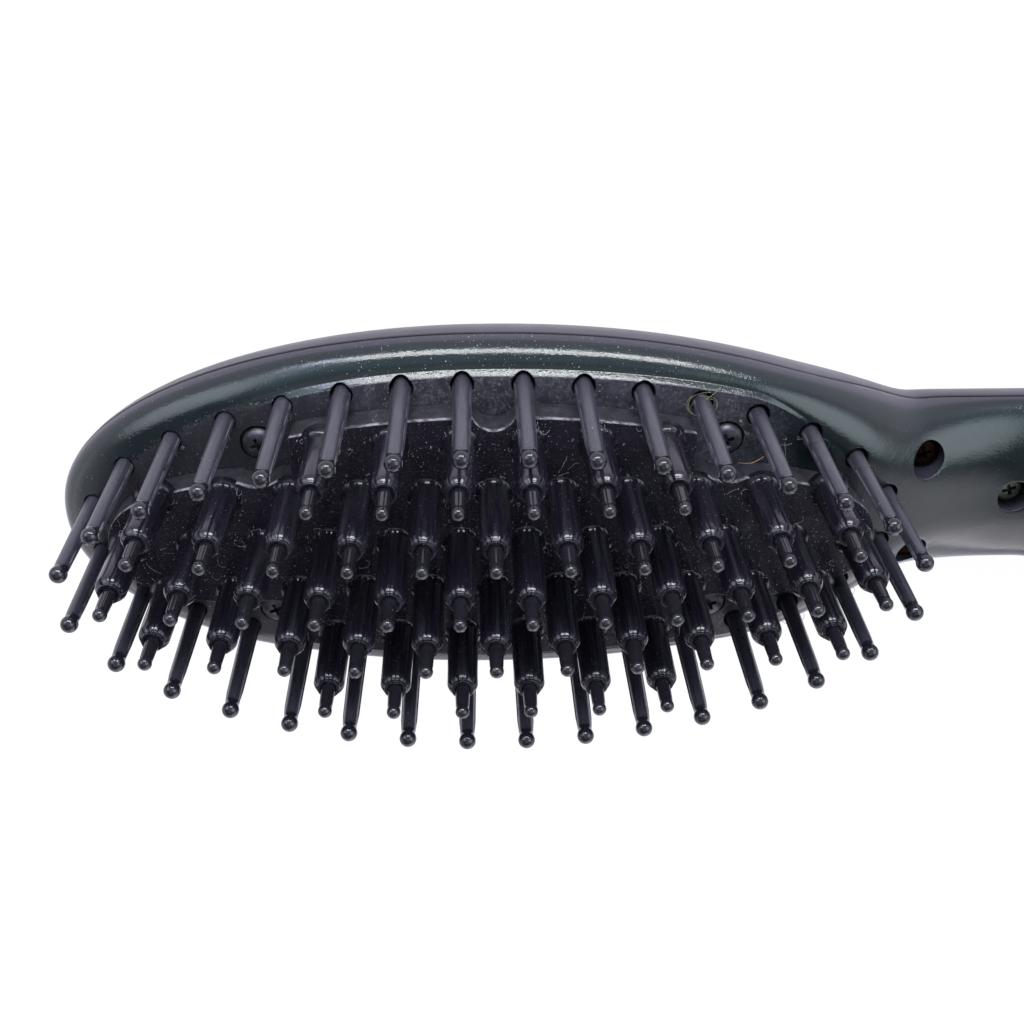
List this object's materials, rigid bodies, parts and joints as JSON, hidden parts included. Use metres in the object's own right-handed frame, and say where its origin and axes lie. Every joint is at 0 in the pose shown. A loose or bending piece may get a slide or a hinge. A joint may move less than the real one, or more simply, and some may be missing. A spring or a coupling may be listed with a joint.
{
  "type": "straightening brush",
  "caption": "Heated hair straightening brush with an oval head of long ball-tipped teeth, a slim neck and a handle with display, buttons and swivelling cord gland.",
  "frame": {"origin": "middle of the tooth field, on the plane that the back rests on", "axes": "+X from the head to the tail along the handle, +Z the way the teeth point, +Y to the left of someone looking along +X"},
  "size_m": [0.2977, 0.0562, 0.0486],
  "materials": {
    "shell_gloss": "gloss",
    "housing_satin": "satin",
    "pin_nylon": "satin",
    "coated_aluminium": "gloss",
    "heater_ceramic": "matte",
    "mica": "satin",
    "clamp_steel": "satin",
    "screw_steel": "satin",
    "sensor_glass": "gloss",
    "fuse_can": "satin",
    "wire_cover": "matte",
    "panel_gloss": "gloss",
    "window_acrylic": "gloss",
    "button_satin": "satin",
    "board_laminate": "satin",
    "black_moulding": "matte",
    "gland_rubbery": "satin",
    "contact_brass": "satin"
  },
  "bodies": {
    "brush": {"front_shell": "shell_gloss", "rear_housing": "housing_satin", "pin_ring": "pin_nylon", "heated_plate": "coated_aluminium", "heater_element_1": "heater_ceramic", "heater_element_2": "heater_ceramic", "mica_sheet": "mica", "heater_clamp": "clamp_steel", "clamp_screw_1": "screw_steel", "clamp_screw_2": "screw_steel", "clamp_screw_3": "screw_steel", "head_screw_1": "screw_steel", "head_screw_2": "screw_steel", "head_screw_3": "screw_steel", "head_screw_4": "screw_steel", "neck_screw_1": "screw_steel", "neck_screw_2": "screw_steel", "collar_screw_1": "screw_steel", "tail_screw_1": "screw_steel", "tail_screw_2": "screw_steel", "board_screw_1": "screw_steel", "board_screw_2": "screw_steel", "board_screw_3": "screw_steel", "board_screw_4": "screw_steel", "temperature_sensor": "sensor_glass", "thermal_fuse": "fuse_can", "capacitor": "fuse_can", "heater_lead_1": "wire_cover", "heater_lead_2": "wire_cover", "sensor_lead_1": "wire_cover", "sensor_lead_2": "wire_cover", "jumper_lead_1": "wire_cover", "jumper_lead_2": "wire_cover", "control_panel": "panel_gloss", "display_window": "window_acrylic", "circuit_board": "board_laminate", "tact_switch_1": "black_moulding", "tact_switch_2": "black_moulding", "tact_switch_3": "black_moulding", "triac": "black_moulding", "display_module": "black_moulding", "contact_spring_1": "contact_brass", "contact_spring_2": "contact_brass"},
    "heat_up": {"heat_up_button": "button_satin"},
    "heat_down": {"heat_down_button": "button_satin"},
    "power": {"power_button": "button_satin"},
    "cord_swivel": {"swivel_gland": "gland_rubbery", "slip_ring_1": "contact_brass", "slip_ring_2": "contact_brass"}
  },
  "joints": [
    {"name": "heat_up_press", "type": "slide", "parent": "brush", "child": "heat_up", "axis": [0, 0, -1], "range_m": [0, 0.0006], "stiffness_N_per_m": 150, "springref_m": -0.002},
    {"name": "heat_down_press", "type": "slide", "parent": "brush", "child": "heat_down", "axis": [0, 0, -1], "range_m": [0, 0.0006], "stiffness_N_per_m": 150, "springref_m": -0.002},
    {"name": "power_press", "type": "slide", "parent": "brush", "child": "power", "axis": [0, 0, -1], "range_m": [0, 0.0006], "stiffness_N_per_m": 150, "springref_m": -0.002},
    {"name": "cord_turn", "type": "hinge", "parent": "brush", "child": "cord_swivel", "pos_m": [0.224, 0, 0.0115], "axis": [1, 0, 0], "continuous": true}
  ]
}
